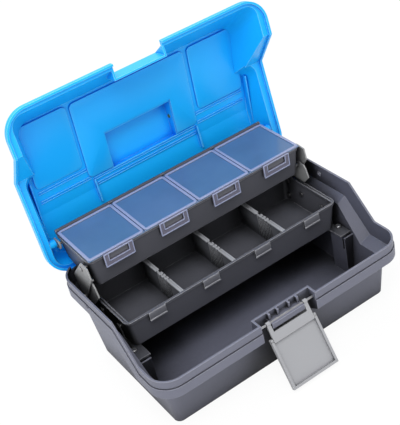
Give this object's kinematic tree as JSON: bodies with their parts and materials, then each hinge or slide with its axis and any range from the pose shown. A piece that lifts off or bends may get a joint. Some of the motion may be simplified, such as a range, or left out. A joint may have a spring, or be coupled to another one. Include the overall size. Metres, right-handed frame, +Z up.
{
  "type": "tackle box",
  "caption": "Hinged plastic tackle box, shown open, with cantilevered lift-out trays on side links, small lidded bays, a front latch and a top handle.",
  "frame": {"origin": "centre of the base tub underside, on the surface it stands on", "axes": "+X to the right, +Y to the back where the lid is hinged, +Z up"},
  "size_m": [0.357, 0.3246, 0.3372],
  "materials": {
    "tub_grey": "fine satin grain",
    "steel": "plain zinc steel",
    "lid_blue": "smooth, slightly glossy",
    "handle_dark": "satin",
    "tray_dark": "satin",
    "small_lid_blue": "tinted, smooth",
    "link_grey": "satin",
    "latch_grey": "satin"
  },
  "bodies": {
    "base": {"base_tub": "tub_grey", "bracket_left": "tray_dark", "bracket_right": "tray_dark", "bracket_screws": "steel", "base_link_pins": "steel", "lid_hinge_pins": "steel", "latch_frame_pin": "steel"},
    "lid": {"lid_shell": "lid_blue", "lid_link_screws": "steel", "handle_pins": "steel"},
    "handle": {"handle": "handle_dark"},
    "lid_link_left": {"lid_link_left": "link_grey"},
    "lid_link_right": {"lid_link_right": "link_grey"},
    "lower_tray": {"lower_tray": "tray_dark", "lower_tray_pins": "steel", "lower_divider_left": "tray_dark", "lower_divider_middle": "tray_dark", "lower_divider_right": "tray_dark"},
    "upper_tray": {"upper_tray": "tray_dark", "upper_tray_pins": "steel", "tray_lid_pin": "steel", "upper_divider_left": "tray_dark", "upper_divider_middle": "tray_dark", "upper_divider_right": "tray_dark"},
    "latch_frame": {"latch_frame": "latch_grey", "latch_flap_pin": "steel"},
    "latch_flap": {"latch_flap": "latch_grey"},
    "lower_link_front_left": {"lower_link_front_left": "tray_dark"},
    "lower_link_front_right": {"lower_link_front_right": "tray_dark"},
    "lower_link_rear_left": {"lower_link_rear_left": "tray_dark"},
    "lower_link_rear_right": {"lower_link_rear_right": "tray_dark"},
    "upper_link_outer_left": {"upper_link_outer_left": "link_grey"},
    "upper_link_outer_right": {"upper_link_outer_right": "link_grey"},
    "upper_link_inner_left": {"upper_link_inner_left": "link_grey"},
    "upper_link_inner_right": {"upper_link_inner_right": "link_grey"},
    "tray_lid_1": {"tray_lid_1": "small_lid_blue"},
    "tray_lid_2": {"tray_lid_2": "small_lid_blue"},
    "tray_lid_3": {"tray_lid_3": "small_lid_blue"},
    "tray_lid_4": {"tray_lid_4": "small_lid_blue"}
  },
  "joints": [
    {"name": "lid_hinge", "type": "hinge", "parent": "base", "child": "lid", "pos_m": [0, 0.1082, 0.1145], "axis": [1, 0, 0], "range_deg": [0, 100.3]},
    {"name": "lower_link_front_left_pivot", "type": "hinge", "parent": "base", "child": "lower_link_front_left", "pos_m": [0, 0.0024, 0.05138], "axis": [1, 0, 0], "range_deg": [0, 33]},
    {"name": "lower_link_front_right_pivot", "type": "hinge", "parent": "base", "child": "lower_link_front_right", "pos_m": [0, 0.0024, 0.05138], "axis": [1, 0, 0], "range_deg": [0, 33]},
    {"name": "lower_link_rear_left_pivot", "type": "hinge", "parent": "base", "child": "lower_link_rear_left", "pos_m": [0, 0.0424, 0.05138], "axis": [1, 0, 0], "range_deg": [0, 33]},
    {"name": "lower_link_rear_right_pivot", "type": "hinge", "parent": "base", "child": "lower_link_rear_right", "pos_m": [0, 0.0424, 0.05138], "axis": [1, 0, 0], "range_deg": [0, 33]},
    {"name": "lower_tray_pivot", "type": "hinge", "parent": "lower_link_front_left", "child": "lower_tray", "pos_m": [0, 0.012, 0.084], "axis": [1, 0, 0], "range_deg": [-33, 0]},
    {"name": "upper_link_outer_left_pivot", "type": "hinge", "parent": "lower_tray", "child": "upper_link_outer_left", "pos_m": [0, 0.0795, 0.093], "axis": [1, 0, 0], "range_deg": [0, 30.59]},
    {"name": "upper_link_outer_right_pivot", "type": "hinge", "parent": "lower_tray", "child": "upper_link_outer_right", "pos_m": [0, 0.0795, 0.093], "axis": [1, 0, 0], "range_deg": [0, 30.59]},
    {"name": "upper_link_inner_left_pivot", "type": "hinge", "parent": "lower_tray", "child": "upper_link_inner_left", "pos_m": [0, 0.0781, 0.0715], "axis": [1, 0, 0], "range_deg": [0, 30.59]},
    {"name": "upper_link_inner_right_pivot", "type": "hinge", "parent": "lower_tray", "child": "upper_link_inner_right", "pos_m": [0, 0.0781, 0.0715], "axis": [1, 0, 0], "range_deg": [0, 30.59]},
    {"name": "upper_tray_pivot", "type": "hinge", "parent": "upper_link_outer_left", "child": "upper_tray", "pos_m": [0, 0.062, 0.145], "axis": [1, 0, 0], "range_deg": [-30.59, 0]},
    {"name": "lid_link_left_pivot", "type": "hinge", "parent": "lid", "child": "lid_link_left", "pos_m": [0, 0.13, 0.146], "axis": [1, 0, 0], "range_deg": [0, 100.72]},
    {"name": "lid_link_right_pivot", "type": "hinge", "parent": "lid", "child": "lid_link_right", "pos_m": [0, 0.13, 0.146], "axis": [1, 0, 0], "range_deg": [0, 100.72]},
    {"name": "tray_lid_1_hinge", "type": "hinge", "parent": "upper_tray", "child": "tray_lid_1", "pos_m": [0, 0.1306, 0.16], "axis": [1, 0, 0], "range_deg": [-88, 0]},
    {"name": "tray_lid_2_hinge", "type": "hinge", "parent": "upper_tray", "child": "tray_lid_2", "pos_m": [0, 0.1306, 0.16], "axis": [1, 0, 0], "range_deg": [-88, 0]},
    {"name": "tray_lid_3_hinge", "type": "hinge", "parent": "upper_tray", "child": "tray_lid_3", "pos_m": [0, 0.1306, 0.16], "axis": [1, 0, 0], "range_deg": [-88, 0]},
    {"name": "tray_lid_4_hinge", "type": "hinge", "parent": "upper_tray", "child": "tray_lid_4", "pos_m": [0, 0.1306, 0.16], "axis": [1, 0, 0], "range_deg": [-88, 0]},
    {"name": "latch_frame_pivot", "type": "hinge", "parent": "base", "child": "latch_frame", "pos_m": [0, -0.1015, 0.0755], "axis": [1, 0, 0], "range_deg": [-40, 0]},
    {"name": "latch_flap_hinge", "type": "hinge", "parent": "latch_frame", "child": "latch_flap", "pos_m": [0, -0.112, 0.05731], "axis": [1, 0, 0], "range_deg": [-150, 0]},
    {"name": "handle_pivot", "type": "hinge", "parent": "lid", "child": "handle", "pos_m": [0, 0.16806, 0.20831], "axis": [1, 0, 0], "range_deg": [0, 150]}
  ],
  "couplings": [
    {"joint": "lower_link_front_left_pivot", "follows": "lid_hinge", "ratio": 0.32702},
    {"joint": "lower_link_front_right_pivot", "follows": "lid_hinge", "ratio": 0.32702},
    {"joint": "lower_link_rear_left_pivot", "follows": "lid_hinge", "ratio": 0.32702},
    {"joint": "lower_link_rear_right_pivot", "follows": "lid_hinge", "ratio": 0.32702},
    {"joint": "lower_tray_pivot", "follows": "lid_hinge", "ratio": -0.32702},
    {"joint": "upper_link_outer_left_pivot", "follows": "lid_hinge", "ratio": 0.30299},
    {"joint": "upper_link_outer_right_pivot", "follows": "lid_hinge", "ratio": 0.30299},
    {"joint": "upper_link_inner_left_pivot", "follows": "lid_hinge", "ratio": 0.30299},
    {"joint": "upper_link_inner_right_pivot", "follows": "lid_hinge", "ratio": 0.30299},
    {"joint": "upper_tray_pivot", "follows": "lid_hinge", "ratio": -0.30299},
    {"joint": "lid_link_left_pivot", "follows": "lid_hinge", "ratio": 1.0022},
    {"joint": "lid_link_right_pivot", "follows": "lid_hinge", "ratio": 1.0022}
  ]
}
